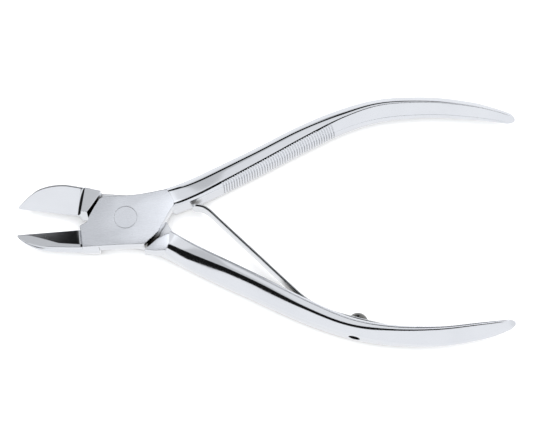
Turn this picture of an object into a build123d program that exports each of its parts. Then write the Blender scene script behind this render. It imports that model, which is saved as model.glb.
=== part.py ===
from build123d import *
import math
import os

# Lap-jointed side nippers, 140 mm long, in millimetres.
# Origin on the pivot axis at the underside of the joint. +X runs to the handles, +Z is up along the pivot.
# The front lever lies on top at the joint: it holds the -Y jaw and the +Y handle.
# The back lever lies underneath: it holds the +Y jaw and the -Y handle. The jaws stand open.

JOINT_THICKNESS = 8.8
LAP_GAP = 0.06
MID_Z = JOINT_THICKNESS / 2

RIVET_SHANK_RADIUS = 2.4
RIVET_HEAD_RADIUS = 3.25
RIVET_HEAD_DEPTH = 1.3
RIVET_CLEARANCE = 0.03

JAW_ROOT_X = -6.6
HOLLOW_END_X = -12.8
CUTTING_EDGE_LIP = 0.12
HOLLOW_RADIUS = 10.0
HOLLOW_SAG = 0.45

# A handle is lofted through stations of its middle line: x, y, width in the XY plane, depth along Z
# and crown, which is 0 where the sides are flat and 1 where they are fully rounded.
FRONT_HANDLE = (
    (11.2, 5.7, 6.0, 8.7, 0.2),
    (20.9, 9.8, 6.5, 8.6, 0.7),
    (35.5, 17.05, 6.5, 8.6, 1.0),
    (49.8, 24.75, 6.5, 8.5, 1.0),
    (61.2, 30.1, 6.2, 8.3, 1.05),
    (72.4, 33.3, 5.9, 8.0, 1.1),
    (86.1, 34.2, 5.4, 7.2, 1.2),
    (97.3, 33.3, 4.5, 6.2, 1.3),
    (104.4, 32.0, 3.2, 4.8, 1.4),
    (110.1, 30.7, 1.7, 2.6, 1.4),
)
BACK_HANDLE = (
    (11.2, 6.45, 6.0, 8.7, 0.2),
    (20.9, 11.85, 6.35, 8.6, 0.7),
    (35.4, 18.95, 6.2, 8.6, 1.0),
    (49.8, 25.9, 5.6, 8.5, 1.0),
    (61.8, 30.6, 4.8, 8.3, 1.05),
    (73.2, 33.0, 4.9, 8.0, 1.1),
    (86.1, 33.3, 4.8, 7.2, 1.2),
    (97.6, 31.9, 4.3, 6.2, 1.3),
    (103.6, 30.6, 3.1, 4.8, 1.4),
    (107.9, 29.3, 1.6, 2.6, 1.4),
)
OUTER_CROWN = 0.33
INNER_CROWN = 0.24

# Jaw outlines in the lever's own frame, with the jaw on -Y: tip, two points on the nose, back of the jaw.
JAW_TIP = (-30.5, -3.9)
JAW_EDGE_END = (HOLLOW_END_X, -2.4)
FRONT_JAW_BACK = ((-27.8, -6.6), (-24.0, -8.2), (-18.6, -8.9), (-12.0, -9.1), (-8.2, -9.1))
BACK_JAW_BACK = ((-27.8, -7.1), (-24.6, -9.25), (-19.6, -10.4), (-12.0, -9.6), (-8.2, -9.3))
# Half thickness of the jaw along Z at the root, mid length and tip.
JAW_HALF_THICKNESS = ((-7.0, 4.4), (-12.8, 3.7), (-19.0, 2.8), (-25.0, 2.0), (-31.0, 1.1))

PLATE_OUTLINE = (
    (-7.3, 6.0), (-1.6, 6.7), (4.0, 7.1), (8.0, 7.8), (13.0, 9.8),
    (16.0, 5.6), (13.2, 4.2), (12.0, 1.6), (11.0, -1.8), (9.4, -2.8), (9.2, -4.2), (5.6, -7.8),
    (-6.6, -8.1), (-12.8, -6.5), (-12.8, -2.7), (-10.6, -1.0), (-10.1, 1.5),
)
# Clears the other lever's lap plate through its whole swing.
LAP_POCKET = (
    (-6.9, -13.0), (-7.6, -7.5), (-12.0, -1.9), (-16.0, 3.0), (-16.0, 13.0), (5.0, 13.0),
    (5.9, 9.0), (8.1, 6.7), (9.6, 5.6), (11.9, 4.4), (15.0, 3.0), (15.0, -13.0),
)

SPRING_THICKNESS = 0.8
SPRING_WIDTH = 5.2
# Middle line of the leaf: hooked end, blade, bend and foot, with the bend radius at each corner.
SPRING_CORNERS = ((18.4, 4.3), (22.2, 3.8), (50.3, -23.4), (57.5, -26.9), (74.6, -31.3))
SPRING_RADII = (4.0, 7.0, 12.0)
# Flat seat for the foot on the back handle, run out at its far end.
SEAT_LINE = ((46.0, -19.6), (50.1, -23.9), (57.4, -27.3), (74.5, -31.7), (80.0, -30.4), (80.0, -15.0))

SCREW_FOOT = (64.7, -28.33)
SCREW_TILT = 14.4
SCREW_HEAD_RADIUS = 2.7
SCREW_HEAD_HEIGHT = 1.9
SCREW_SHANK_RADIUS = 1.5
SCREW_HOLE_CLEARANCE = 0.1
SCREW_LENGTH = 4.4


def half_slab(outline, low, high):
    """A flat plate of the given outline between two heights."""
    face = make_face(Polyline(*outline, close=True))
    return Pos(0, 0, low) * extrude(face, amount=high - low)


def handle_section(x, y, tangent, width, depth, crown):
    """One barrel-shaped section of a handle, with its outer side on +Y."""
    plane = Plane(origin=(x, y, MID_Z), x_dir=(0, 0, 1), z_dir=tangent)
    half_depth = depth / 2
    outer_flat = width / 2 - width * OUTER_CROWN * crown
    inner_flat = -width / 2 + width * INNER_CROWN * crown
    outer = ThreePointArc((-half_depth, outer_flat), (0, width / 2), (half_depth, outer_flat))
    near = Line((half_depth, outer_flat), (half_depth, inner_flat))
    inner = ThreePointArc((half_depth, inner_flat), (0, -width / 2), (-half_depth, inner_flat))
    far = Line((-half_depth, inner_flat), (-half_depth, outer_flat))
    return plane * make_face([outer, near, inner, far])


def handle(stations):
    """A bowed handle that tapers to a blunt point, with its outer side on +Y."""
    middle = Spline([station[:2] for station in stations])
    sections = []
    for x, y, width, depth, crown in stations:
        tangent = middle % middle.param_at_point((x, y))
        sections.append(handle_section(x, y, tangent, width, depth, crown))
    return loft(sections)


def jaw_body(back):
    """The solid of one jaw: its outline cut to a wedge that thins towards the tip."""
    nose = Spline([JAW_TIP, *back], tangents=[(0.45, -1.0), (1.0, 0.12)])
    root = Polyline(back[-1], (JAW_ROOT_X, -8.1), (JAW_ROOT_X, -1.0), (-10.6, -1.0), JAW_EDGE_END, JAW_TIP)
    blank = extrude(make_face([nose, root]), amount=JOINT_THICKNESS)
    upper = [(x, MID_Z + half) for x, half in JAW_HALF_THICKNESS]
    lower = [(x, MID_Z - half) for x, half in reversed(JAW_HALF_THICKNESS)]
    side = [(0.0, JOINT_THICKNESS), *upper, *lower, (0.0, 0.0)]
    profile = Plane.XZ * make_face(Polyline(*side, close=True))
    return blank & extrude(profile, amount=20.0)


def jaw_hollow():
    """The cylinder that grinds the upper side of a jaw down to its cutting edge."""
    edge_run = Vector(*JAW_EDGE_END) - Vector(*JAW_TIP)
    slope = math.radians(27.0)
    chord = 6.0
    lift = HOLLOW_RADIUS - HOLLOW_SAG
    middle = Vector(*JAW_TIP) + edge_run * 0.5
    across = Vector(edge_run.Y, -edge_run.X).normalized()
    centre = middle + across * (chord / 2 * math.cos(slope))
    centre = Vector(centre.X, centre.Y, MID_Z + CUTTING_EDGE_LIP + chord / 2 * math.sin(slope))
    centre += across * (-lift * math.sin(slope)) + Vector(0, 0, lift * math.cos(slope))
    frame = Plane(origin=centre, z_dir=edge_run.normalized())
    cutter = frame * Cylinder(HOLLOW_RADIUS, 60.0)
    return cutter & Pos(HOLLOW_END_X - 15.0, 0, MID_Z) * Box(30.0, 60.0, 60.0)


def jaw(back):
    """A jaw ground hollow on both sides, with its cutting edge at mid thickness."""
    cutter = jaw_hollow()
    return jaw_body(back) - cutter - mirror(cutter, about=Plane.XY.offset(MID_Z))


def pivot_cutter():
    """The countersunk hole for the pivot in the upper lap plate."""
    hole = Cylinder(RIVET_SHANK_RADIUS + RIVET_CLEARANCE, 3 * JOINT_THICKNESS)
    sink_radius = RIVET_HEAD_RADIUS + RIVET_CLEARANCE
    sink = Pos(0, 0, JOINT_THICKNESS - RIVET_HEAD_DEPTH / 2) * Cone(
        RIVET_SHANK_RADIUS + RIVET_CLEARANCE, sink_radius, RIVET_HEAD_DEPTH)
    return hole + sink


def lever(stations, back):
    """One forging with its lap plate on top, its jaw on -Y and its handle on +Y."""
    arms = handle(stations) + jaw(back)
    arms -= half_slab(LAP_POCKET, -1.0, MID_Z + LAP_GAP / 2)
    plate = half_slab(PLATE_OUTLINE, MID_Z + LAP_GAP / 2, JOINT_THICKNESS)
    above = half_slab(LAP_POCKET, MID_Z, JOINT_THICKNESS + 1.0) - plate
    return arms - above + plate - pivot_cutter()


def flipped(shape):
    """The shape turned over about the tool's long axis at mid thickness."""
    return Pos(0, 0, JOINT_THICKNESS) * Rot(180, 0, 0) * shape


def front_lever():
    """The upper lever."""
    return lever(FRONT_HANDLE, FRONT_JAW_BACK)


def screw_frame():
    """Frame at the foot of the screw head, with Z towards the gap between the handles."""
    tilt = math.radians(SCREW_TILT)
    return Plane(origin=(*SCREW_FOOT, MID_Z), x_dir=(0, 0, 1), z_dir=(math.sin(tilt), math.cos(tilt), 0))


def back_lever():
    """The lower lever, with a flat seat for the spring's foot and a through hole for its screw."""
    screw_hole = screw_frame() * Cylinder(SCREW_SHANK_RADIUS, 40.0)
    seat = half_slab(SEAT_LINE, -1.0, JOINT_THICKNESS + 1.0)
    return flipped(lever(BACK_HANDLE, BACK_JAW_BACK)) - seat - screw_hole


def pivot_rivet():
    """The flush rivet through both lap plates, with a countersunk head each side."""
    shank = Pos(0, 0, MID_Z) * Cylinder(RIVET_SHANK_RADIUS, JOINT_THICKNESS)
    top = Pos(0, 0, JOINT_THICKNESS - RIVET_HEAD_DEPTH / 2) * Cone(
        RIVET_SHANK_RADIUS, RIVET_HEAD_RADIUS, RIVET_HEAD_DEPTH)
    return shank + top + flipped(top)


def return_spring():
    """The leaf spring: a foot along the back handle, a straight blade and a hooked end."""
    line = FilletPolyline(*SPRING_CORNERS, radius=SPRING_RADII)
    strip = trace(line, line_width=SPRING_THICKNESS)
    leaf = Pos(0, 0, MID_Z - SPRING_WIDTH / 2) * extrude(strip, amount=SPRING_WIDTH)
    return leaf - screw_frame() * Cylinder(SCREW_SHANK_RADIUS + SCREW_HOLE_CLEARANCE, 10.0)


def spring_screw():
    """The dome-headed screw that holds the spring's foot, with its tail a little below the handle's outer side."""
    cap_radius = (SCREW_HEAD_RADIUS**2 + SCREW_HEAD_HEIGHT**2) / (2 * SCREW_HEAD_HEIGHT)
    cap = Pos(0, 0, SCREW_HEAD_HEIGHT - cap_radius) * Sphere(cap_radius)
    head = cap & Pos(0, 0, SCREW_HEAD_HEIGHT / 2) * Cylinder(SCREW_HEAD_RADIUS, SCREW_HEAD_HEIGHT)
    shank = Pos(0, 0, -SCREW_LENGTH / 2) * Cylinder(SCREW_SHANK_RADIUS, SCREW_LENGTH)
    return screw_frame() * (head + shank)


PARTS = {
    "front_lever": front_lever,
    "back_lever": back_lever,
    "pivot_rivet": pivot_rivet,
    "return_spring": return_spring,
    "spring_screw": spring_screw,
}

if __name__ == "__main__":
    os.makedirs("parts", exist_ok=True)
    for name, make in PARTS.items():
        export_step(make(), f"parts/{name}.step")
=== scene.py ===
"""Looks for a pair of lap-jointed side nippers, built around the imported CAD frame.

Pieces are modelled in millimetres in the frame's own axes and brought to metres when they are finished.
"""

from __future__ import annotations

import logging
import math
from dataclasses import dataclass
from enum import Enum

import bmesh
import bpy
from mathutils import Matrix, Vector

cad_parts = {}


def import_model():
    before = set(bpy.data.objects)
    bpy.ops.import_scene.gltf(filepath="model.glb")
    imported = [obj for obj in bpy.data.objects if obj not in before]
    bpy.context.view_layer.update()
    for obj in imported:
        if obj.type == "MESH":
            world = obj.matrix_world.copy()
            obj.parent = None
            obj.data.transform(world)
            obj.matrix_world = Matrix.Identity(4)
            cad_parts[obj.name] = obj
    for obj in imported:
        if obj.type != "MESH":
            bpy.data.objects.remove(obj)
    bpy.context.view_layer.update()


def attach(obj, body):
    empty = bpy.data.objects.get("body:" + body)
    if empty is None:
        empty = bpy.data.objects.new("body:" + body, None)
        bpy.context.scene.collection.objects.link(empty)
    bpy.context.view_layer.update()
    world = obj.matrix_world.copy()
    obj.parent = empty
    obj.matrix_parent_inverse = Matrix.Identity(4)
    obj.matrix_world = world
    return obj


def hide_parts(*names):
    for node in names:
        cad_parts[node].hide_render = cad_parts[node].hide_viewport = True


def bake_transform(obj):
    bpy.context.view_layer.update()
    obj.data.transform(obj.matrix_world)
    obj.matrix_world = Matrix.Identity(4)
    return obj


log = logging.getLogger("nippers")

MM = 0.001
JOINT_THICKNESS = 8.8
MID_Z = JOINT_THICKNESS / 2
LAP_GAP = 0.06

Point2 = tuple[float, float]
Span = tuple[float, float]
Triple = tuple[float, float, float]
Ring = list[Vector]
Socket = bpy.types.NodeSocket


class Cut(Enum):
    """How one solid acts on another."""

    JOIN = "UNION"
    REMOVE = "DIFFERENCE"


class Side(Enum):
    """Which way up a lever lies: the front lever's lap plate is on top, the back lever is turned over."""

    FRONT = "front"
    BACK = "back"


# ---------------------------------------------------------------- modelling helpers


def deselect() -> None:
    """Leave edit mode and select nothing."""
    if bpy.context.object and bpy.context.object.mode != "OBJECT":
        bpy.ops.object.mode_set(mode="OBJECT")
    bpy.ops.object.select_all(action="DESELECT")


def activate(piece: bpy.types.Object) -> None:
    """Select one piece alone and make it active.

    Args:
        piece: the piece that the next operators act on.
    """
    deselect()
    piece.select_set(True)
    bpy.context.view_layer.objects.active = piece


def place_points(piece: bpy.types.Object, old: Ring, new: Ring) -> None:
    """Move the selected points from where the old ring was to the new ring.

    Args:
        piece: the piece in edit mode, with one ring of points selected.
        old: where each point is now.
        new: where each point goes, in the same order.
    """
    mesh = bmesh.from_edit_mesh(piece.data)
    points = [v for v in mesh.verts if v.select]
    for start, goal in zip(old, new):
        nearest = min(points, key=lambda v: (v.co - start).length_squared)
        points.remove(nearest)
        nearest.co = goal
    bmesh.update_edit_mesh(piece.data)


def start_ring(name: str, ring: Ring) -> bpy.types.Object:
    """Add a filled circle and lay its rim on a ring; the piece is left in edit mode.

    Args:
        name: the piece's name.
        ring: the rim's points in order.

    Returns:
        The new piece.
    """
    deselect()
    bpy.ops.mesh.primitive_circle_add(vertices=len(ring), radius=1.0, fill_type="NGON")
    piece = bpy.context.object
    piece.name = name
    piece.data.name = name
    bpy.ops.object.mode_set(mode="EDIT")
    mesh = bmesh.from_edit_mesh(piece.data)
    for point, goal in zip(mesh.verts, ring):
        point.co = goal
    bmesh.update_edit_mesh(piece.data)
    bpy.ops.mesh.select_all(action="SELECT")
    return piece


def extrude_rings(name: str, rings: list[Ring]) -> bpy.types.Object:
    """Draw a closed bar out ring by ring.

    Args:
        name: the piece's name.
        rings: cross-sections along the bar, each with the same number of points.

    Returns:
        The closed bar, in object mode.
    """
    piece = start_ring(name, rings[0])
    for old, new in zip(rings, rings[1:]):
        bpy.ops.mesh.extrude_region_move()
        place_points(piece, old, new)
    bpy.ops.mesh.select_all(action="SELECT")
    bpy.ops.mesh.normals_make_consistent(inside=False)
    bpy.ops.object.mode_set(mode="OBJECT")
    return piece


def prism(name: str, outline: list[Point2], low: float, high: float, bevel: float = 0.0) -> bpy.types.Object:
    """Extrude a flat outline into a plate, with its upper and lower rims eased.

    Args:
        name: the piece's name.
        outline: corners in the XY plane.
        low: height of the underside.
        high: height of the upper side.
        bevel: width of the eased rim, or 0 for a sharp one.

    Returns:
        The plate, in object mode.
    """
    bottom = [Vector((x, y, low)) for x, y in outline]
    top = [Vector((x, y, high)) for x, y in outline]
    piece = extrude_rings(name, [bottom, top])
    if bevel:
        ease = piece.modifiers.new("ease", "BEVEL")
        ease.width = bevel
        ease.segments = 3
        ease.limit_method = "ANGLE"
        ease.angle_limit = math.radians(40)
        activate(piece)
        bpy.ops.object.modifier_apply(modifier=ease.name)
    return piece


def combine(piece: bpy.types.Object, tool: bpy.types.Object, cut: Cut) -> None:
    """Join a tool to a piece or cut it away, and throw the tool away.

    Args:
        piece: the piece that is changed.
        tool: the solid that is used up.
        cut: join or remove.
    """
    change = piece.modifiers.new("cut", "BOOLEAN")
    change.operation = cut.value
    change.solver = "EXACT"
    change.object = tool
    activate(piece)
    bpy.ops.object.modifier_apply(modifier=change.name)
    bpy.data.objects.remove(tool)


def turn_over(piece: bpy.types.Object) -> None:
    """Turn a piece over about the tool's long axis at mid thickness."""
    turn = Matrix.Translation((0, 0, JOINT_THICKNESS)) @ Matrix.Rotation(math.pi, 4, "X")
    piece.data.transform(turn)


def finish_piece(piece: bpy.types.Object, smooth_below: float = 32.0) -> None:
    """Bring a finished piece to metres at the origin and shade it smooth across soft edges.

    Args:
        piece: the piece, modelled in millimetres.
        smooth_below: edges sharper than this many degrees stay crisp.
    """
    activate(piece)
    bpy.ops.object.mode_set(mode="EDIT")
    bpy.ops.mesh.select_all(action="SELECT")
    bpy.ops.mesh.remove_doubles(threshold=0.002)
    bpy.ops.mesh.dissolve_degenerate(threshold=0.001)
    bpy.ops.object.mode_set(mode="OBJECT")
    piece.scale = (MM, MM, MM)
    bpy.ops.object.transform_apply(location=True, rotation=True, scale=True)
    bpy.ops.object.shade_smooth_by_angle(angle=math.radians(smooth_below))


def arc(start: Point2, through: Point2, end: Point2, count: int) -> list[Point2]:
    """Points on the circular arc through three points, ends included.

    Args:
        start: first point.
        through: a point on the arc.
        end: last point.
        count: how many points to return.

    Returns:
        The points in order.
    """
    (ax, ay), (bx, by), (cx, cy) = start, through, end
    spread = 2 * (ax * (by - cy) + bx * (cy - ay) + cx * (ay - by))
    if abs(spread) < 1e-9:
        return [(ax + (cx - ax) * i / (count - 1), ay + (cy - ay) * i / (count - 1)) for i in range(count)]
    sa, sb, sc = ax * ax + ay * ay, bx * bx + by * by, cx * cx + cy * cy
    ux = (sa * (by - cy) + sb * (cy - ay) + sc * (ay - by)) / spread
    uy = (sa * (cx - bx) + sb * (ax - cx) + sc * (bx - ax)) / spread
    radius = math.hypot(ax - ux, ay - uy)
    first = math.atan2(ay - uy, ax - ux)
    middle = (math.atan2(by - uy, bx - ux) - first) % math.tau
    sweep = (math.atan2(cy - uy, cx - ux) - first) % math.tau
    if middle > sweep:
        sweep -= math.tau
    angles = [first + sweep * i / (count - 1) for i in range(count)]
    return [(ux + radius * math.cos(a), uy + radius * math.sin(a)) for a in angles]


def ease_corner(before: Point2, corner: Point2, after: Point2, reach: float) -> list[Point2]:
    """Replace a sharp corner with a small rounded one.

    Args:
        before: the point ahead of the corner.
        corner: the sharp corner.
        after: the point past the corner.
        reach: how far the rounding runs along each side.

    Returns:
        Four points on the rounding.
    """
    c = Vector(corner)
    into, out = Vector(before) - c, Vector(after) - c
    first = c + into.normalized() * min(reach, into.length * 0.45)
    last = c + out.normalized() * min(reach, out.length * 0.45)
    steps = (0.0, 0.33, 0.67, 1.0)
    return [tuple(first * (1 - t) ** 2 + c * 2 * t * (1 - t) + last * t * t) for t in steps]


def bend(start: Point2, control: Point2, end: Point2, count: int) -> list[Point2]:
    """Points on a smooth bend that leaves its start and reaches its end along the lines to a control point.

    Args:
        start: first point.
        control: where the two end tangents cross.
        end: last point.
        count: how many points to return, the first one left out.

    Returns:
        The points in order.
    """
    a, c, b = Vector(start), Vector(control), Vector(end)
    steps = [i / count for i in range(1, count + 1)]
    return [tuple(a * (1 - t) ** 2 + c * 2 * t * (1 - t) + b * t * t) for t in steps]


def between(start: Point2, end: Point2, share: float) -> Point2:
    """The point a share of the way from start to end."""
    return (start[0] + (end[0] - start[0]) * share, start[1] + (end[1] - start[1]) * share)


class Track:
    """A smooth run of values through given stations, read by the distance along it."""

    def __init__(self, stations: tuple[tuple[float, ...], ...]) -> None:
        """Measure the run.

        Args:
            stations: the given values in order, the first two of each being x and y.
        """
        self.stations = stations
        self.fine = 60
        self.marks = [0.0]
        self.places = [0.0]
        last = self.at_place(0.0)
        for i in range(1, (len(stations) - 1) * self.fine + 1):
            now = self.at_place(i / self.fine)
            self.marks.append(self.marks[-1] + math.hypot(now[0] - last[0], now[1] - last[1]))
            self.places.append(i / self.fine)
            last = now
        self.length = self.marks[-1]

    def at_place(self, place: float) -> tuple[float, ...]:
        """Read the run at a station number, between stations by a smooth cubic.

        Args:
            place: the station number, with the way to the next station as its fraction.

        Returns:
            The values there, in a station's own order.
        """
        top = len(self.stations) - 1
        i = min(int(place), top - 1)
        t = place - i
        a, b = self.stations[i], self.stations[i + 1]
        before = self.stations[i - 1] if i > 0 else tuple(2 * p - q for p, q in zip(a, b))
        after = self.stations[i + 2] if i + 2 <= top else tuple(2 * q - p for p, q in zip(a, b))
        h00, h10 = 2 * t**3 - 3 * t**2 + 1, t**3 - 2 * t**2 + t
        h01, h11 = -2 * t**3 + 3 * t**2, t**3 - t**2
        return tuple(h00 * p + h10 * (q - o) / 2 + h01 * q + h11 * (r - p) / 2
                     for o, p, q, r in zip(before, a, b, after))

    def place_of(self, distance: float) -> float:
        """Find the station number at a distance along the run.

        Args:
            distance: the distance from the first station.

        Returns:
            The station number, with a fraction.
        """
        low, high = 0, len(self.marks) - 1
        while high - low > 1:
            mid = (low + high) // 2
            low, high = (mid, high) if self.marks[mid] <= distance else (low, mid)
        span = self.marks[high] - self.marks[low]
        share = (distance - self.marks[low]) / span if span else 0.0
        return self.places[low] + (self.places[high] - self.places[low]) * min(max(share, 0.0), 1.0)

    def at(self, distance: float) -> tuple[float, ...]:
        """Values at a distance along the run."""
        return self.at_place(self.place_of(distance))

    def heading(self, distance: float) -> Vector:
        """Find which way the run heads in the XY plane.

        Args:
            distance: the distance from the first station.

        Returns:
            The unit direction there.
        """
        a = self.at(max(distance - 0.05, 0.0))
        b = self.at(min(distance + 0.05, self.length))
        return Vector((b[0] - a[0], b[1] - a[1], 0.0)).normalized()


# ---------------------------------------------------------------- finishes

# Painted shade: the near-black colour laid into corners, slots and faces near the floor, and how far that
# painted shade reaches.
PAINTED_SHADE_COLOUR = (0.022, 0.019, 0.013, 1.0)
PAINTED_SHADE_REACH = 0.0028
GRAIN_SCALE = 6.0


class NodeSheet:
    """A small helper that lays out the nodes of one metal."""

    def __init__(self, name: str) -> None:
        """Start a metal with a Principled shader and an Object coordinate.

        Args:
            name: the material's name.
        """
        self.material = bpy.data.materials.new(name)
        self.material.use_nodes = True
        self.tree = self.material.node_tree
        self.shader = self.tree.nodes["Principled BSDF"]
        self.shader.inputs["Metallic"].default_value = 1.0
        self.place = self.tree.nodes.new("ShaderNodeTexCoord").outputs["Object"]

    def node(self, kind: str, **values: object) -> bpy.types.Node:
        """Add a node and fill it in.

        Args:
            kind: the node's type.
            values: its properties and inputs by name, with an underscore for a space.

        Returns:
            The new node.
        """
        made = self.tree.nodes.new(kind)
        for key, value in values.items():
            if hasattr(made, key):
                setattr(made, key, value)
            else:
                made.inputs[key.replace("_", " ")].default_value = value
        return made

    def link(self, source: Socket, goal: Socket) -> None:
        """Join two sockets."""
        self.tree.links.new(source, goal)

    def noise(self, stretch: Triple, turn: float, scale: float, detail: float) -> Socket:
        """Add noise on Object coordinates that are scaled unevenly, so that its grain runs one way.

        Args:
            stretch: how fine the noise is along each axis.
            turn: the grain's turn about Z, in radians.
            scale: how fine the noise is as a whole.
            detail: how many finer layers lie over it.

        Returns:
            The noise value.
        """
        mapping = self.node("ShaderNodeMapping", Scale=stretch, Rotation=(0.0, 0.0, turn))
        self.link(self.place, mapping.inputs["Vector"])
        made = self.node("ShaderNodeTexNoise", Scale=scale, Detail=detail)
        self.link(mapping.outputs["Vector"], made.inputs["Vector"])
        return made.outputs["Fac"]

    def ranged(self, value: Socket, to: Span, source: Span = (0.3, 0.7)) -> Socket:
        """Map a value from one range to another.

        Args:
            value: the value to map.
            to: the range it goes to.
            source: the range it comes from, by default where noise mostly lies.

        Returns:
            The mapped value.
        """
        made = self.node("ShaderNodeMapRange", From_Min=source[0], From_Max=source[1],
                         To_Min=to[0], To_Max=to[1])
        self.link(value, made.inputs["Value"])
        return made.outputs["Result"]

    def tinted_with_painted_shade(self, value: Socket, dark: Triple, light: Triple) -> None:
        """Drive the base colour between two tints, with painted shade darkening the tight corners, slots and
        faces close to the floor or to other parts.

        Args:
            value: the share of the light tint.
            dark: the darker tint.
            light: the lighter tint.
        """
        ramp = self.node("ShaderNodeValToRGB")
        ramp.color_ramp.elements[0].color = (*dark, 1.0)
        ramp.color_ramp.elements[1].color = (*light, 1.0)
        self.link(value, ramp.inputs["Fac"])
        # Painted shade: ambient occlusion darkens the base colour towards near-black where faces lie close to
        # other faces or to the floor.
        corner = self.node("ShaderNodeAmbientOcclusion", samples=12, Distance=PAINTED_SHADE_REACH)
        mix = self.node("ShaderNodeMix", data_type="RGBA")
        colour_inputs = [socket for socket in mix.inputs if socket.type == "RGBA"]
        mixed = next(socket for socket in mix.outputs if socket.type == "RGBA")
        self.link(self.ranged(corner.outputs["AO"], (0.0, 1.0), (0.34, 0.66)), mix.inputs["Factor"])
        colour_inputs[0].default_value = PAINTED_SHADE_COLOUR
        self.link(ramp.outputs["Color"], colour_inputs[1])
        self.link(mixed, self.shader.inputs["Base Color"])

    def bumped(self, height: Socket, strength: float, depth: float, edge_radius: float) -> None:
        """Add fine relief over edges that are softened by a small radius.

        Args:
            height: the relief's height.
            strength: how strongly the relief shows.
            depth: how deep it is, in metres.
            edge_radius: the radius of the softened edges, in metres.
        """
        soft = self.node("ShaderNodeBevel", samples=6, Radius=edge_radius)
        bump = self.node("ShaderNodeBump", Strength=strength, Distance=depth)
        self.link(height, bump.inputs["Height"])
        self.link(soft.outputs["Normal"], bump.inputs["Normal"])
        self.link(bump.outputs["Normal"], self.shader.inputs["Normal"])


@dataclass(frozen=True)
class MetalFinish:
    """A metal with faint cloudy tints, painted shade in its tight corners, fine straight grain and slightly
    softened edges.
    """

    name: str
    dark: Triple
    light: Triple
    cloud_scale: float
    grain_stretch: Triple
    roughness: Span
    relief: float
    cloud_detail: float = 5.0
    grain_detail: float = 6.0
    grain_turn: float = 0.0
    relief_depth: float = 0.00001
    edge_radius: float = 0.0002

    def make(self) -> bpy.types.Material:
        """Build the material.

        Returns:
            The finished material.
        """
        sheet = NodeSheet(self.name)
        cloud = sheet.noise((1.0, 1.0, 1.0), 0.0, self.cloud_scale, self.cloud_detail)
        sheet.tinted_with_painted_shade(cloud, self.dark, self.light)
        grain = sheet.noise(self.grain_stretch, self.grain_turn, GRAIN_SCALE, self.grain_detail)
        sheet.link(sheet.ranged(grain, self.roughness), sheet.shader.inputs["Roughness"])
        sheet.bumped(grain, self.relief, self.relief_depth, self.edge_radius)
        return sheet.material


@dataclass(frozen=True)
class BrightChrome(MetalFinish):
    """Polished plating with faint cloudiness and hairline polishing marks."""

    name: str = "bright_chrome"
    dark: Triple = (0.585, 0.60, 0.635)
    light: Triple = (0.655, 0.67, 0.70)
    cloud_scale: float = 90.0
    grain_stretch: Triple = (60.0, 900.0, 900.0)
    roughness: Span = (0.05, 0.13)
    relief: float = 0.05


@dataclass(frozen=True)
class SatinChrome(MetalFinish):
    """Plating over a surface-ground flat: fine straight grain with a soft sheen."""

    name: str = "satin_chrome"
    dark: Triple = (0.655, 0.677, 0.725)
    light: Triple = (0.74, 0.762, 0.81)
    cloud_scale: float = 160.0
    grain_stretch: Triple = (40.0, 1200.0, 400.0)
    roughness: Span = (0.20, 0.30)
    relief: float = 0.18
    grain_detail: float = 8.0
    grain_turn: float = math.radians(4)
    relief_depth: float = 0.00002


@dataclass(frozen=True)
class SpringSteel(MetalFinish):
    """Polished spring strip with fine grain."""

    name: str = "spring_strip"
    dark: Triple = (0.57, 0.585, 0.61)
    light: Triple = (0.66, 0.67, 0.69)
    cloud_scale: float = 120.0
    grain_stretch: Triple = (50.0, 50.0, 1500.0)
    roughness: Span = (0.10, 0.2)
    relief: float = 0.1
    cloud_detail: float = 4.0
    edge_radius: float = 0.00008


@dataclass(frozen=True)
class ScrewSteel(SpringSteel):
    """The screw's darker bare steel."""

    name: str = "screw_steel"
    dark: Triple = (0.12, 0.12, 0.11)
    light: Triple = (0.17, 0.17, 0.165)


# ---------------------------------------------------------------- levers


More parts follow.
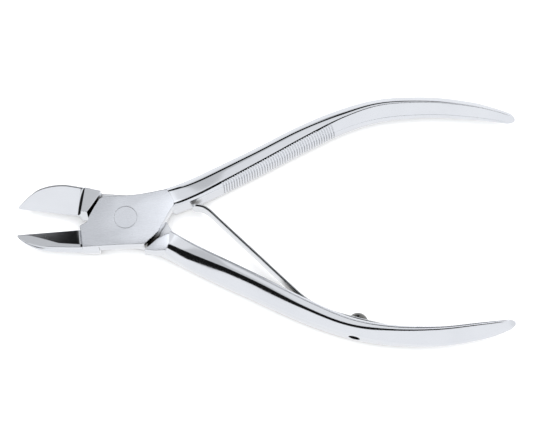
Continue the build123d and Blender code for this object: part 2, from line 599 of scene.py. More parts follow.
@dataclass
class HandleShape:
    """One bowed handle with its outer side on +Y.

    A station holds x, y, width, depth, the shares of the width that the outer and the inner rounding take,
    and how far the flat's outer edge is eased. A groove's profile holds places along one pitch with the
    share of the depth that is cut there.
    """

    stations: tuple[tuple[float, ...], ...]
    grooved: bool
    outer_angle: float = 28.0
    inner_angle: float = 38.0
    face_run: float = 0.78
    inner_ease: float = 0.72
    end_round: float = 2.2
    ring_step: float = 0.9
    waist: float = 0.95
    waist_start: float = 1.2
    waist_low: float = 6.2
    waist_end: float = 19.0
    waist_step: float = 0.4
    groove_start: float = 15.6
    groove_pitch: float = 0.8
    groove_count: int = 45
    groove_depth: float = 0.24
    groove_drop: float = 0.29
    groove_profile: tuple[Point2, ...] = ((0.0, 0.0), (0.36, 0.0), (0.54, 1.0), (0.64, 1.0))

    def distances(self, length: float) -> list[Point2]:
        """Choose where the sections lie, close together at the waist, the grooves and the rounded end.

        Args:
            length: the handle's whole length.

        Returns:
            Pairs of distance and groove depth.
        """
        stops: list[Point2] = [(self.waist_start + self.waist_step * i, 0.0) for i in range(1, 11)]
        steps = int(length / self.ring_step)
        groove_end = self.groove_start + self.groove_pitch * self.groove_count
        for i in range(steps + 1):
            d = length * i / steps
            if self.grooved and self.groove_start - 0.3 < d < groove_end + 0.1:
                continue
            stops.append((d, 0.0))
        if self.grooved:
            for i in range(self.groove_count):
                d = self.groove_start + self.groove_pitch * i
                stops += [(d + along, self.groove_depth * share) for along, share in self.groove_profile]
            stops.append((groove_end, 0.0))
        near_end = [length - self.end_round * (1 - math.sin(math.radians(a))) for a in (60, 70, 78, 84, 88)]
        stops += [(d, 0.0) for d in near_end]
        return sorted(stops)

    def waist_at(self, distance: float) -> float:
        """Read how much thinner the handle is just behind the joint.

        Args:
            distance: the distance along the handle.

        Returns:
            How much is taken off its depth.
        """
        if distance < self.waist_low:
            t = max(distance - self.waist_start, 0.0) / (self.waist_low - self.waist_start)
            return self.waist * (1 - (1 - t) ** 2)
        t = min((distance - self.waist_low) / (self.waist_end - self.waist_low), 1.0)
        return self.waist * (1 - t * t * (3 - 2 * t))

    def side(self, edge: float, extreme: float, half: float, angle: float, ease: float) -> list[Point2]:
        """One rounded side of the barrel, from the near flat over the side's middle to the far flat.

        Args:
            edge: where the flat would end if its edge were sharp.
            extreme: the side's furthest point across.
            half: half the handle's depth.
            angle: how steeply the rounding leaves the flat, in degrees.
            ease: how far the edge is eased along the flat.

        Returns:
            The side's points as (across, height).
        """
        way = 1.0 if extreme > edge else -1.0
        reach = abs(extreme - edge)
        steep = min(math.radians(angle), math.atan(0.85 * half / reach))
        start = (edge - way * ease, half)
        settled = (edge + way * ease * math.cos(steep), half - ease * math.sin(steep))
        control = (extreme, half - reach * math.tan(steep))
        run = between(settled, control, self.face_run)
        set_in = between(settled, run, 0.08)
        upper = [start] + bend(start, (edge, half), settled, 6) + [set_in, run]
        upper += bend(run, control, (extreme, 0.0), 8)
        return upper + [(u, -w) for u, w in reversed(upper[:-1])]

    def section(self, width: float, depth: float, outer: float, inner: float, ease: float,
                groove: float) -> list[Point2]:
        """Work out one section of the barrel, with its outer side on +across.

        Args:
            width: the section's width.
            depth: its depth.
            outer: the share of the width that the outer rounding takes.
            inner: the share that the inner rounding takes.
            ease: how far the flat's outer edge is eased.
            groove: how deep a grip groove is cut into the inner side.

        Returns:
            The section's points as (across, height).
        """
        half = depth / 2
        outer_edge = width / 2 - width * outer
        inner_edge = min(-width / 2 + width * inner, outer_edge - 0.02)
        flat = outer_edge - inner_edge
        outer_ease = min(ease, flat * 0.6)
        inner_ease = min(self.inner_ease, flat * 0.35)
        outer_side = self.side(outer_edge, width / 2, half, self.outer_angle, outer_ease)
        inner_side = self.side(inner_edge, -width / 2, half, self.inner_angle, inner_ease)
        cut = [(u + (groove if abs(w) < half - self.groove_drop else 0.0), w) for u, w in inner_side]
        return list(reversed(outer_side)) + cut

    def build(self, name: str) -> bpy.types.Object:
        """Draw the handle out along its middle line.

        Args:
            name: the piece's name.

        Returns:
            The handle in millimetres, with its outer side on +Y.
        """
        track = Track(self.stations)
        rings: list[Ring] = []
        for distance, groove in self.distances(track.length):
            x, y, width, depth, outer, inner, ease = track.at(distance)
            over = max(0.0, distance - (track.length - self.end_round)) / self.end_round
            shrink = max(math.sqrt(max(0.0, 1 - over * over)), 0.03)
            depth -= self.waist_at(distance)
            ahead = track.heading(distance)
            outward = Vector((-ahead.y, ahead.x, 0.0))
            section = self.section(width * shrink, depth * shrink, outer, inner, ease * shrink, groove)
            rings.append([Vector((x, y, MID_Z)) + outward * u + Vector((0, 0, w)) for u, w in section])
        return extrude_rings(name, rings)


@dataclass
class JawShape:
    """One jaw on -Y, ground on both faces to a cutting edge at mid thickness.

    Insets and rims shrink in step where the jaw is narrower than its full height.
    """

    back: tuple[Point2, ...]
    ground_share: tuple[Point2, ...]
    tip: Point2 = (-30.5, -3.9)
    edge_end: Point2 = (-12.8, -2.4)
    upper_inset: float = 0.55
    lower_inset: float = 0.9
    grind_angle: float = 28.0
    grind_twist: float = 6.0
    rim_ease: float = 0.7
    land_angle: float = 7.0
    lip: float = 0.10
    grind_end: float = -12.5
    run_out: float = 0.8
    root_stations: tuple[float, ...] = (-8.1, -9.5, -11.0)
    root_half: float = 4.3
    slant: float = 0.14
    slant_start: float = -20.0
    full_height: float = 5.0
    grind_steps: tuple[float, ...] = (0.0, 0.03, 0.25, 0.5, 0.75, 0.97, 1.0)
    land_steps: tuple[float, ...] = (0.06, 0.2, 0.5, 0.8, 1.0)
    run_out_rings: int = 8
    blade_rings: int = 36

    @staticmethod
    def read(table: tuple[Point2, ...], x: float) -> float:
        """Read a value between the points of a short profile.

        Args:
            table: the profile's points in order of x.
            x: where it is read.

        Returns:
            The value there.
        """
        for (x0, v0), (x1, v1) in zip(table, table[1:]):
            if x <= x1 or (x1, v1) == table[-1]:
                t = min(max((x - x0) / (x1 - x0), 0.0), 1.0)
                return v0 + (v1 - v0) * t
        return table[-1][1]

    def edge_y(self, x: float) -> float:
        """Where the cutting edge runs at x."""
        (x0, y0), (x1, y1) = self.tip, self.edge_end
        return y0 + (y1 - y0) * (x - x0) / (x1 - x0)

    def back_y(self, track: Track, x: float) -> float:
        """Find where the back of the jaw runs.

        Args:
            track: the outline of the jaw's back.
            x: where it is read.

        Returns:
            Its y there.
        """
        low, high = 0.0, track.length
        for _ in range(40):
            mid = (low + high) / 2
            low, high = (mid, high) if track.at(mid)[0] < x else (low, mid)
        return track.at(low)[1]

    def ring(self, track: Track, x: float, filled: float) -> Ring:
        """One section across the jaw.

        Args:
            track: the outline of the jaw's back.
            x: where the section lies.
            filled: 0 where the faces are ground fully, 1 where the stock is left whole.

        Returns:
            The section's points, from the cutting edge over the upper face and back to it.
        """
        edge, back = self.edge_y(x), self.back_y(track, x)
        height = edge - back
        share = self.read(self.ground_share, x)
        small = min(1.0, height / self.full_height)
        along = (x - self.tip[0]) / (self.grind_end - self.tip[0])
        fall = math.tan(math.radians(self.grind_angle - self.grind_twist * (along - 0.5)))
        level = math.tan(math.radians(self.land_angle))
        faces: list[list[Point2]] = []
        for inset in (self.upper_inset, self.lower_inset):
            rim = back + (inset + self.rim_ease * 0.3) * small
            ground = (edge - rim) * share
            land = (edge - rim) - ground
            face = [(edge - ground * t, self.lip + ground * t * fall) for t in self.grind_steps]
            top = face[-1][1]
            face += [(edge - ground - land * t, top + land * level * (t - t * t / 2))
                     for t in self.land_steps]
            top = face[-1][1]
            drop = min(self.rim_ease * small, top * 0.5)
            face += bend(face[-1], (rim - drop * 0.15, top), (rim - drop * 0.3, top - drop), 6)
            faces.append([(y, z + (self.root_half - z) * filled) for y, z in face])
        upper, lower = faces
        crown = arc((upper[-1][0], upper[-1][1]), (back, 0.0), (lower[-1][0], -lower[-1][1]), 11)[1:-1]
        near = max(0.0, min((x - self.slant_start) / (self.grind_end - self.slant_start), 1.0))
        points = upper + crown + [(y, -z) for y, z in reversed(lower)]
        return [Vector((x + self.slant * near * (edge - y), y, MID_Z + z)) for y, z in points]

    def build(self, name: str) -> bpy.types.Object:
        """Draw the jaw out from its root to its tip.

        Args:
            name: the piece's name.

        Returns:
            The jaw in millimetres, on -Y.
        """
        track = Track(self.back)
        rings = [self.ring(track, x, 1.0) for x in (*self.root_stations, self.grind_end + 0.02)]
        for i in reversed(range(self.run_out_rings)):
            s = i / self.run_out_rings
            rings.append(self.ring(track, self.grind_end - self.run_out * (1 - s), 1 - math.sqrt(1 - s * s)))
        start = self.grind_end - self.run_out
        reach = start - self.tip[0] - 0.08
        for i in range(1, self.blade_rings + 1):
            t = i / self.blade_rings
            rings.append(self.ring(track, start - reach * (1 - (1 - t) ** 1.5), 0.0))
        return extrude_rings(name, rings)


@dataclass
class Lever:
    """One forging: lap plate, jaw and handle, with its lap plate on top and its jaw on -Y."""

    side: Side
    handle: HandleShape
    jaw: JawShape
    sink_radius: float = 3.305
    sink_depth: float = 1.3
    sink_rise: float = 0.12
    hole_radius: float = 2.43
    rim_ease: float = 0.14
    plate: tuple[Point2, ...] = (
        (-7.4, 5.45), (-6.6, 6.0), (-4.9, 6.2), (-2.6, 6.28), (-0.3, 6.4), (3.25, 6.75), (6.8, 7.4),
        (11.3, 8.35), (12.15, 7.13), (13.44, 4.7), (13.35, 3.5), (12.4, 2.0), (11.6, 0.6), (11.0, -0.7),
        (10.5, -1.7), (9.9, -2.5), (9.2, -4.1), (7.4, -5.95), (5.5, -7.8), (1.8, -7.93), (-1.7, -8.06),
        (-7.0, -8.4), (-11.7, -8.72), (-12.0, -6.3), (-12.3, -4.1),
        (-12.66, -2.5), (-12.1, -2.1), (-10.9, -1.5), (-10.35, -0.74), (-10.1, 0.4), (-8.8, 3.0))
    handle_root: tuple[Point2, ...] = (
        (5.9, 8.4), (6.8, 8.2), (8.9, 6.2), (12.0, 4.5), (12.36, 4.9), (12.25, 7.4), (11.3, 9.2), (8.5, 8.8))
    pocket: tuple[Point2, ...] = (
        (-6.9, -13.0), (-6.4, -8.0), (-7.6, -6.45), (-9.75, -3.07), (-10.7, -1.7), (-16.0, 3.0),
        (-16.0, 13.0), (4.0, 13.0), (5.4, 9.4), (6.8, 8.2), (8.9, 6.2), (12.0, 4.5), (15.0, 3.0),
        (15.0, -13.0))

    @property
    def name(self) -> str:
        """The piece's name."""
        return f"{self.side.value}_lever_forging"

    def build(self) -> bpy.types.Object:
        """Forge the lever from its handle, jaw and lap plate.

        Returns:
            The finished lever in metres.
        """
        lap = MID_Z + LAP_GAP / 2
        body = self.handle.build(self.name)
        combine(body, prism("lap_pocket", list(self.pocket), -1.0, lap), Cut.REMOVE)
        combine(body, prism("root_face", list(self.handle_root), 0.0, lap + 0.5, self.rim_ease), Cut.JOIN)
        combine(body, prism("lap_plate", list(self.plate), lap, JOINT_THICKNESS, self.rim_ease), Cut.JOIN)
        jaw = self.jaw.build("jaw")
        combine(jaw, prism("jaw_pocket", list(self.pocket), -1.0, lap), Cut.REMOVE)
        combine(body, jaw, Cut.JOIN)
        combine(body, self.rivet_hole(), Cut.REMOVE)
        if self.side is Side.BACK:
            turn_over(body)
            combine(body, SpringScrew().bore(), Cut.REMOVE)
        finish_piece(body)
        return body

    def rivet_hole(self) -> bpy.types.Object:
        """Make the countersunk hole through the lap plate.

        Returns:
            The hole, as a cutter in millimetres.
        """
        deselect()
        bpy.ops.mesh.primitive_cylinder_add(vertices=96, radius=self.hole_radius, depth=30.0)
        hole = bpy.context.object
        deselect()
        bpy.ops.mesh.primitive_cone_add(
            vertices=96, radius1=self.hole_radius, radius2=self.sink_radius,
            depth=self.sink_depth + self.sink_rise,
            location=(0, 0, JOINT_THICKNESS - self.sink_depth / 2 + self.sink_rise / 2))
        sink = bpy.context.object
        activate(sink)
        bpy.ops.object.transform_apply(location=True, rotation=False, scale=False)
        combine(hole, sink, Cut.JOIN)
        return hole

    def dress(self, piece: bpy.types.Object, bright: bpy.types.Material, satin: bpy.types.Material) -> None:
        """Plate the lever bright, with satin flats around the joint.

        Args:
            piece: the lever.
            bright: finish of the polished surfaces.
            satin: finish of the ground joint flats.
        """
        piece.data.materials.clear()
        piece.data.materials.append(bright)
        piece.data.materials.append(satin)
        for face in piece.data.polygons:
            level = face.center.z / MM
            outermost = min(level, JOINT_THICKNESS - level) < 0.02
            if outermost and abs(face.normal.z) > 0.999:
                face.material_index = 1


@dataclass
class PivotRivet:
    """The rivet through both lap plates, its countersunk heads ground flush."""

    shank_radius: float = 2.4
    head_radius: float = 3.2
    head_depth: float = 1.3
    edge: float = 0.05
    sunk: float = 0.02

    def build(self) -> bpy.types.Object:
        """Turn the rivet's half profile about the pivot.

        Returns:
            The rivet in metres.
        """
        low_half = [(0.0, self.sunk), (self.head_radius - self.edge, self.sunk),
                    (self.head_radius, self.sunk + self.edge), (self.shank_radius, self.head_depth)]
        profile = low_half + [(r, JOINT_THICKNESS - z) for r, z in reversed(low_half)]
        return turned("flush_rivet", profile, Matrix.Identity(4), 96)


def turned(name: str, profile: list[Point2], place: Matrix, steps: int) -> bpy.types.Object:
    """Spin a half profile into a solid of revolution.

    Args:
        name: the piece's name.
        profile: (radius, height) pairs from the axis round to the axis.
        place: where the finished solid's own frame lies.
        steps: how many steps make the full turn.

    Returns:
        The solid in metres.
    """
    deselect()
    bpy.ops.mesh.primitive_circle_add(vertices=len(profile), radius=1.0, fill_type="NOTHING")
    piece = bpy.context.object
    piece.name = name
    piece.data.name = name
    bpy.ops.object.mode_set(mode="EDIT")
    mesh = bmesh.from_edit_mesh(piece.data)
    for point, (radius, height) in zip(mesh.verts, profile):
        point.co = (radius, 0.0, height)
    mesh.edges.ensure_lookup_table()
    closing = [e for e in mesh.edges if all(v.co.x < 1e-6 for v in e.verts)]
    bmesh.update_edit_mesh(piece.data)
    bpy.ops.mesh.select_all(action="DESELECT")
    for edge in closing:
        edge.select = True
    bmesh.update_edit_mesh(piece.data)
    bpy.ops.mesh.delete(type="EDGE")
    bpy.ops.mesh.select_all(action="SELECT")
    bpy.ops.mesh.spin(steps=steps, angle=math.tau, center=(0, 0, 0), axis=(0, 0, 1))
    bpy.ops.mesh.select_all(action="SELECT")
    bpy.ops.mesh.remove_doubles(threshold=0.0005)
    bpy.ops.mesh.normals_make_consistent(inside=False)
    bpy.ops.object.mode_set(mode="OBJECT")
    piece.data.transform(place)
    finish_piece(piece)
    return piece


@dataclass
class LeafSpring:
    """The return spring: a foot along the back handle, a straight blade and a hooked end."""

    thickness: float = 0.8
    width: float = 5.2
    route: tuple[Point2, ...] = (
        (18.5, 4.25), (20.3, 4.1), (21.8, 3.7), (23.4, 2.6), (26.0, 0.1), (31.0, -4.75), (36.0, -9.55),
        (41.0, -14.4), (45.6, -18.85), (48.2, -21.35), (50.4, -23.15), (53.0, -24.75), (56.5, -26.4),
        (60.0, -27.5), (65.0, -28.83), (70.0, -30.12), (74.6, -31.3))
    ring_step: float = 0.5
    roll_width: float = 0.55
    roll_angle: float = 17.0
    end_round: float = 1.2
    edge_ease: float = 0.05
    far_ease: float = 0.10

    def build(self) -> bpy.types.Object:
        """Draw the strip out along its middle line.

        Returns:
            The leaf in metres.
        """
        track = Track(self.route)
        steps = int(track.length / self.ring_step)
        rings: list[Ring] = []
        for i in range(steps + 1):
            distance = track.length * i / steps
            x, y = track.at(distance)
            ahead = track.heading(distance)
            across = Vector((-ahead.y, ahead.x, 0.0))
            end = min(distance, track.length - distance)
            over = max(0.0, 1 - end / self.end_round)
            narrowing = 0.55 + 0.45 * math.sqrt(1 - over**2)
            rings.append([Vector((x, y, MID_Z)) + across * u + Vector((0, 0, w))
                          for u, w in self.section(narrowing)])
        piece = extrude_rings("leaf_spring", rings)
        finish_piece(piece)
        return piece

    def section(self, narrowing: float) -> list[Point2]:
        """Work out one section, its long edges rolled towards the back handle and eased on the far side.

        Args:
            narrowing: the share of the full width that is left here.

        Returns:
            The section's points as (across, height).
        """
        t, w = self.thickness / 2, self.width / 2 * narrowing
        roll = self.roll_width - t
        drop = self.roll_width * math.tan(math.radians(self.roll_angle))
        near, far = ((-t, w - drop), (roll, w), (t, w)), ((t, -w), (roll, -w), (-t, drop - w))
        corners = list(near + far)
        points: list[Point2] = []
        for i, corner in enumerate(corners):
            ease = self.far_ease if i in (2, 3) else self.edge_ease
            points += ease_corner(corners[i - 1], corner, corners[(i + 1) % 6], ease)
        return points


@dataclass
class SpringScrew:
    """The dome-headed screw that clamps the spring's foot, its tail sunk a little into the handle."""

    foot: Point2 = (64.7, -28.33)
    tilt: float = 14.4
    head_radius: float = 2.7
    head_height: float = 1.9
    rim_ease: float = 0.12
    shank_radius: float = 1.48
    length: float = 4.1
    tail_ease: float = 0.15
    tail_taper: float = 0.2
    tail_dome: float = 0.05
    bore_gap: float = 0.12
    bore_reach: float = 3.0
    bore_overlap: float = 0.5

    def build(self) -> bpy.types.Object:
        """Turn the screw's half profile and stand it on the spring's foot.

        Returns:
            The screw in metres.
        """
        sphere = (self.head_radius**2 + self.head_height**2) / (2 * self.head_height)
        lean = math.asin(self.head_radius / sphere)
        dome = [(sphere * math.sin(angle), self.head_height - sphere + sphere * math.cos(angle))
                for angle in (lean * i / 12 for i in range(12))]
        rim = [(self.head_radius, self.rim_ease), (self.head_radius - self.rim_ease, 0.0)]
        shank = [(self.shank_radius, 0.0), (self.shank_radius, self.tail_ease - self.length),
                 (self.shank_radius - self.tail_taper, -self.length), (0.0, -self.length - self.tail_dome)]
        return turned("dome_screw", dome + rim + shank, self.place(), 64)

    def place(self) -> Matrix:
        """Find the frame at the spring's foot, with its Z towards the gap between the handles.

        Returns:
            The frame, in millimetres.
        """
        angle = math.radians(self.tilt)
        up = Vector((math.sin(angle), math.cos(angle), 0.0))
        side = Vector((0.0, 0.0, 1.0))
        turn = Matrix((side, up.cross(side), up)).transposed().to_4x4()
        return Matrix.Translation((*self.foot, MID_Z)) @ turn

    def bore(self) -> bpy.types.Object:
        """Make the hole that stays open past the screw's tail, at the handle's outer side.

        Returns:
            The hole, as a cutter in millimetres.
        """
        deselect()
        bpy.ops.mesh.primitive_cylinder_add(
            vertices=64, radius=self.shank_radius + self.bore_gap, depth=self.bore_reach)
        cutter = bpy.context.object
        middle = self.bore_overlap - self.length - self.bore_reach / 2
        cutter.data.transform(self.place() @ Matrix.Translation((0.0, 0.0, middle)))
        return cutter


# ---------------------------------------------------------------- setting


class SkySheet:
    """A small helper that lays out the world's nodes, which read only the direction that light comes from."""

    def __init__(self, name: str) -> None:
        """Start a world that knows the direction and how far it points along each axis.

        Args:
            name: the world's name.
        """
        world = bpy.data.worlds.new(name)
        bpy.context.scene.world = world
        world.use_nodes = True
        self.tree = world.node_tree
        self.background = self.tree.nodes["Background"]
        self.direction = self.tree.nodes.new("ShaderNodeTexCoord").outputs["Generated"]
        split = self.tree.nodes.new("ShaderNodeSeparateXYZ")
        self.link(self.direction, split.inputs["Vector"])
        self.x, self.y, self.z = (split.outputs[axis] for axis in "XYZ")

    def link(self, source: Socket, goal: Socket) -> None:
        """Join two sockets."""
        self.tree.links.new(source, goal)

    def along(self, way: Triple) -> Socket:
        """Measure how far the direction points a given way.

        Args:
            way: the given way.

        Returns:
            The measured value.
        """
        made = self.tree.nodes.new("ShaderNodeVectorMath")
        made.operation = "DOT_PRODUCT"
        made.inputs[1].default_value = way
        self.link(self.direction, made.inputs[0])
        return made.outputs["Value"]

    def calculate(self, operation: str, first: Socket, second: Socket | float = 0.0) -> Socket:
        """Work out one calculation.

        Args:
            operation: what is worked out.
            first: its first value.
            second: its second value, where it has one.

        Returns:
            The result.
        """
        made = self.tree.nodes.new("ShaderNodeMath")
        made.operation = operation
        self.link(first, made.inputs[0])
        if isinstance(second, float):
            made.inputs[1].default_value = second
        else:
            self.link(second, made.inputs[1])
        return made.outputs["Value"]

    def unsigned(self, value: Socket) -> Socket:
        """A value without its sign."""
        return self.calculate("ABSOLUTE", value)

    def either(self, first: Socket, second: Socket) -> Socket:
        """The larger of two values."""
        return self.calculate("MAXIMUM", first, second)

    def product(self, first: Socket, *others: Socket | float) -> Socket:
        """Multiply values together.

        Args:
            first: the first value.
            others: the values it is multiplied by.

        Returns:
            The product.
        """
        for other in others:
            first = self.calculate("MULTIPLY", first, other)
        return first

    def ramp(self, value: Socket, edge: Span, low: float = 0.0, high: float = 1.0) -> Socket:
        """Go smoothly from one level to another across a soft edge.

        Args:
            value: the value that crosses the edge.
            edge: where the edge starts and ends.
            low: the level before it.
            high: the level past it.

        Returns:
            The level.
        """
        made = self.tree.nodes.new("ShaderNodeMapRange")
        made.interpolation_type = "SMOOTHSTEP"
        for name, number in zip(("From Min", "From Max", "To Min", "To Max"), (*edge, low, high)):
            made.inputs[name].default_value = number
        self.link(value, made.inputs["Value"])
        return made.outputs["Result"]

    def inside(self, value: Socket, edge: Span) -> Socket:
        """Full before a soft edge and nothing past it."""
        return self.ramp(value, edge, 1.0, 0.0)

    def level(self, share: Socket, goal: Socket | float) -> Socket:
        """Leave full light for another level as a share grows.

        Args:
            share: how much of the level is reached.
            goal: the level, as a number that is eased in or as a value that is reached evenly.

        Returns:
            The light.
        """
        if isinstance(goal, float):
            return self.ramp(share, (0.0, 1.0), 1.0, goal)
        made = self.tree.nodes.new("ShaderNodeMapRange")
        made.inputs["To Min"].default_value = 1.0
        self.link(share, made.inputs["Value"])
        self.link(goal, made.inputs["To Max"])
        return made.outputs["Result"]


@dataclass
class Sky:
    """Even white light, with the dark shapes around the bench that give bright plating its lines.

    A dark bar hangs overhead, a dark wall stands beyond the tool, and the far left is dark. High up beyond
    the tool the right is brighter than the left. The front, and the light low down beyond the tool, are a
    little brighter than the rest. A way is a direction in the room, and a soft edge is a pair of distances
    along a way, for a direction of length one. The view's rise is in radians.
    """

    view_rise: float
    strength: float = 1.12
    tint: tuple[float, ...] = (0.985, 0.99, 1.0, 1.0)
    horizon: Span = (-0.05, 0.05)
    bar_level: float = 0.008
    bar_side: Span = (0.23, 0.29)
    bar_end: Span = (0.46, 0.62)
    wall_level: float = 0.012
    wall_way: Triple = (0.0, 0.10, 1.0)
    wall_foot: Span = (0.34, 0.46)
    wall_middle_foot: Span = (0.11, 0.17)
    wall_middle_side: Span = (0.16, 0.24)
    wall_top: Span = (0.66, 0.76)
    wall_end: Span = (0.42, 0.56)
    wall_front: Span = (0.30, 0.42)
    rail_level: float = 0.06
    rail_way: Triple = (0.0, -0.272, 0.962)
    rail_side: Span = (0.02, 0.07)
    left_end: Span = (0.74, 0.90)
    right_level: float = 1.45
    right_edge: Span = (0.10, 0.34)
    left_level: float = 0.7
    left_edge: Span = (-0.12, -0.04)
    high_edge: Span = (0.45, 0.75)
    beyond_edge: Span = (-0.15, 0.10)
    glow_level: float = 1.14
    glow_top: Span = (0.02, 0.14)
    glow_front: Span = (0.45, 0.60)
    front_level: float = 1.12
    front_edge: Span = (-0.55, -0.2)

    def bar(self, sheet: SkySheet) -> Socket:
        """Darken the bar overhead, which runs from left to right on the front side, at the view's own rise.

        Args:
            sheet: the world's nodes.

        Returns:
            The light that is left.
        """
        across = sheet.along((0.0, math.sin(self.view_rise), math.cos(self.view_rise)))
        beside = sheet.ramp(sheet.unsigned(across), self.bar_side)
        past = sheet.ramp(sheet.unsigned(sheet.x), self.bar_end)
        lit = sheet.either(sheet.either(beside, past), sheet.inside(sheet.z, self.horizon))
        return sheet.ramp(lit, (0.0, 1.0), self.bar_level, 1.0)

    def wall(self, sheet: SkySheet) -> Socket:
        """Darken the wall beyond the tool, which reaches lower at its middle and has a paler rail.

        Args:
            sheet: the world's nodes.

        Returns:
            The light that is left.
        """
        rise = sheet.along(self.wall_way)
        width = sheet.unsigned(sheet.x)
        middle = sheet.product(sheet.inside(width, self.wall_middle_side),
                               sheet.ramp(rise, self.wall_middle_foot))
        foot = sheet.either(sheet.ramp(rise, self.wall_foot), middle)
        dark = sheet.product(sheet.inside(sheet.z, self.wall_top), foot, sheet.inside(width, self.wall_end),
                             sheet.ramp(sheet.y, self.wall_front))
        beside = sheet.unsigned(sheet.along(self.rail_way))
        rail = sheet.ramp(beside, self.rail_side, self.rail_level, self.wall_level)
        return sheet.level(dark, rail)

    def sides(self, sheet: SkySheet) -> Socket:
        """Brighten the right and dim the left, high up beyond the tool, and darken the far left.

        Args:
            sheet: the world's nodes.

        Returns:
            The light there, where 1 is unchanged.
        """
        high = sheet.product(sheet.ramp(sheet.z, self.high_edge), sheet.ramp(sheet.y, self.beyond_edge))
        right = sheet.product(sheet.ramp(sheet.x, self.right_edge), high)
        left = sheet.product(sheet.inside(sheet.x, self.left_edge), high)
        far_left = sheet.ramp(sheet.along((-1.0, 0.0, 0.0)), self.left_end, 1.0, self.wall_level)
        brighter = sheet.level(right, self.right_level)
        dimmer = sheet.level(left, self.left_level)
        return sheet.product(brighter, dimmer, far_left)

    def glow(self, sheet: SkySheet) -> Socket:
        """Brighten the light low down beyond the tool, and from the front.

        Args:
            sheet: the world's nodes.

        Returns:
            The light there, where 1 is unchanged.
        """
        low = sheet.product(sheet.inside(sheet.along(self.wall_way), self.glow_top),
                            sheet.ramp(sheet.y, self.glow_front))
        front = sheet.ramp(sheet.y, self.front_edge, self.front_level, 1.0)
        return sheet.product(sheet.level(low, self.glow_level), front)

    def build(self) -> None:
        """Light the world."""
        sheet = SkySheet("studio")
        light = sheet.product(self.bar(sheet), self.wall(sheet), self.sides(sheet), self.glow(sheet),
                              self.strength)
        sheet.background.inputs["Color"].default_value = self.tint
        sheet.link(light, sheet.background.inputs["Strength"])


@dataclass
class Studio:
    """A pale floor, the sky, a soft lamp and a long-lens camera."""

    elevation: float = 72.0
    distance: float = 0.5
    lens: float = 120.35
    aim: Triple = (0.03928, 0.0, 0.0044)
    floor_radius: float = 6.0
    floor_drop: float = 0.00005
    floor_glow: float = 0.2
    lamp_power: float = 30.0

    def floor(self) -> None:
        """Lay the floor, which glows a little to keep shadows pale and isn't mirrored in the plating."""
        deselect()
        bpy.ops.mesh.primitive_circle_add(
            vertices=96, radius=self.floor_radius, fill_type="NGON", location=(0, 0, -self.floor_drop))
        ground = bpy.context.object
        ground.name = "floor"
        paint = bpy.data.materials.new("floor_paint")
        paint.use_nodes = True
        shader = paint.node_tree.nodes["Principled BSDF"]
        shader.inputs["Base Color"].default_value = (0.93, 0.935, 0.94, 1.0)
        shader.inputs["Roughness"].default_value = 0.9
        shader.inputs["Emission Color"].default_value = (1.0, 1.0, 1.0, 1.0)
        shader.inputs["Emission Strength"].default_value = self.floor_glow
        ground.data.materials.append(paint)
        ground.visible_glossy = False

    def lamp(self) -> None:
        """Hang a wide soft lamp that lifts the floor and doesn't show in the plating."""
        data = bpy.data.lights.new("soft_lamp", "AREA")
        data.shape = "DISK"
        data.size = 2.4
        data.energy = self.lamp_power
        lamp = bpy.data.objects.new("soft_lamp", data)
        lamp.location = (0.04, 0.0, 1.6)
        lamp.visible_glossy = False
        bpy.context.scene.collection.objects.link(lamp)

    def camera(self) -> None:
        """Stand the camera on the -Y side, looking down at the tool."""
        data = bpy.data.cameras.new("camera")
        eye = bpy.data.objects.new("camera", data)
        bpy.context.scene.collection.objects.link(eye)
        rise = math.radians(self.elevation)
        offset = Vector((0.0, -math.cos(rise), math.sin(rise))) * self.distance
        eye.location = Vector(self.aim) + offset
        eye.rotation_euler = (-offset).to_track_quat("-Z", "Y").to_euler()
        data.lens = self.lens
        data.clip_start = 0.01
        data.clip_end = 50.0
        bpy.context.scene.camera = eye

    def build(self) -> None:
        """Set up the floor, light and camera."""
        self.floor()
        Sky(math.radians(self.elevation)).build()
        self.lamp()
        self.camera()
        bpy.context.scene.view_settings.view_transform = "Standard"


# ---------------------------------------------------------------- the two levers' shapes

# Both are given with the handle on +Y and the jaw on -Y. The back lever is turned over once it is built.
FRONT_HANDLE = (
    (11.2, 5.7, 6.0, 8.75, 0.22, 0.10, 0.30),
    (20.9, 9.8, 6.5, 8.6, 0.32, 0.16, 0.85),
    (35.5, 17.05, 6.5, 8.6, 0.285, 0.285, 0.75),
    (49.8, 24.75, 6.5, 8.5, 0.28, 0.375, 0.70),
    (61.2, 30.1, 6.2, 8.3, 0.365, 0.48, 0.55),
    (72.4, 33.3, 5.9, 8.0, 0.33, 0.58, 0.35),
    (86.1, 34.2, 5.4, 7.2, 0.36, 0.58, 0.35),
    (97.3, 33.3, 4.7, 6.2, 0.38, 0.58, 0.35),
    (104.4, 32.0, 3.7, 4.9, 0.38, 0.60, 0.30),
    (110.3, 30.5, 2.6, 3.3, 0.38, 0.60, 0.20),
)
BACK_HANDLE = (
    (11.2, 6.45, 6.0, 8.75, 0.24, 0.06, 1.0),
    (20.9, 11.85, 6.35, 8.6, 0.52, 0.10, 1.75),
    (35.4, 18.95, 6.2, 8.6, 0.59, 0.14, 1.15),
    (49.8, 25.95, 5.6, 8.5, 0.51, 0.18, 0.65),
    (61.8, 30.6, 4.8, 8.3, 0.48, 0.22, 0.60),
    (73.2, 32.9, 4.8, 8.0, 0.66, 0.18, 0.70),
    (86.1, 33.4, 4.8, 7.2, 0.80, 0.10, 0.70),
    (97.6, 31.9, 4.3, 6.2, 0.82, 0.10, 0.30),
    (103.6, 30.6, 3.3, 4.8, 0.82, 0.10, 0.25),
    (108.0, 29.3, 2.2, 3.0, 0.80, 0.12, 0.20),
)
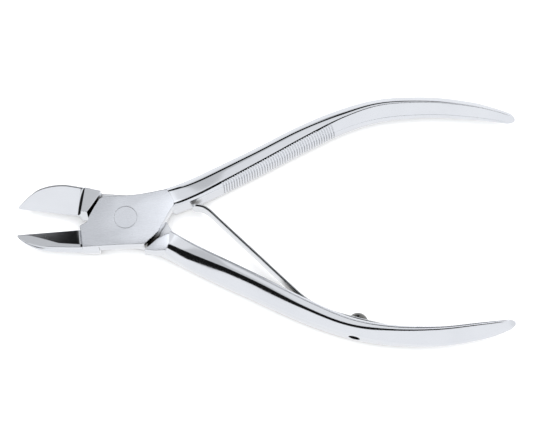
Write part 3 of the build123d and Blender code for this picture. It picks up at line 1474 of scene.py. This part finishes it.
FRONT_JAW = JawShape(
    back=((-30.6, -4.3), (-29.2, -5.6), (-27.0, -7.0), (-23.7, -8.25), (-18.3, -8.8), (-12.0, -8.95),
          (-7.0, -8.9)),
    ground_share=((-31.0, 0.02), (-27.6, 0.08), (-23.3, 0.42), (-18.6, 0.77), (-12.2, 0.86)))
BACK_JAW = JawShape(
    back=((-30.5, -4.2), (-29.6, -5.2), (-28.3, -6.6), (-25.4, -8.9), (-21.9, -10.0), (-18.3, -10.35),
          (-15.4, -10.0), (-11.1, -9.1), (-7.0, -8.2)),
    ground_share=((-31.0, 0.96), (-12.0, 0.97)),
    tip=(-30.4, -3.8), edge_end=(-12.8, -1.8), upper_inset=0.8, lower_inset=0.6, grind_angle=29.5,
    grind_twist=0.0, rim_ease=0.3, land_angle=4.0, run_out=1.5)
BACK_ROOT = (
    (5.4, 9.4), (6.8, 8.2), (8.9, 6.2), (12.0, 4.5), (12.36, 4.9), (12.25, 7.4), (11.3, 9.6), (8.5, 9.8))

# ---------------------------------------------------------------- the whole tool


def main() -> None:
    """Build every piece around the frame, dress it and set the studio."""
    logging.basicConfig(level=logging.INFO, format="%(name)s: %(message)s")
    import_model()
    bright, satin, strip = BrightChrome().make(), SatinChrome().make(), SpringSteel().make()

    front = Lever(Side.FRONT, HandleShape(FRONT_HANDLE, grooved=True, outer_angle=35.0), FRONT_JAW)
    back = Lever(Side.BACK, HandleShape(BACK_HANDLE, grooved=False, inner_ease=0.2), BACK_JAW,
                 handle_root=BACK_ROOT)
    for lever, body, node in ((front, "front_half", "front_lever"), (back, "back_half", "back_lever")):
        piece = lever.build()
        lever.dress(piece, bright, satin)
        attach(piece, body)
        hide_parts(node)
        log.info("%s: %d faces", piece.name, len(piece.data.polygons))

    rivet = PivotRivet().build()
    rivet.data.materials.append(satin)
    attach(rivet, "back_half")
    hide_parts("pivot_rivet")
    log.info("%s: %d faces", rivet.name, len(rivet.data.polygons))

    spring = LeafSpring().build()
    spring.data.materials.append(strip)
    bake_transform(spring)
    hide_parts("return_spring")
    log.info("%s: %d faces", spring.name, len(spring.data.polygons))

    screw = SpringScrew().build()
    screw.data.materials.append(ScrewSteel().make())
    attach(screw, "back_half")
    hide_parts("spring_screw")
    log.info("%s: %d faces", screw.name, len(screw.data.polygons))

    Studio().build()


if __name__ == "__main__":
    main()
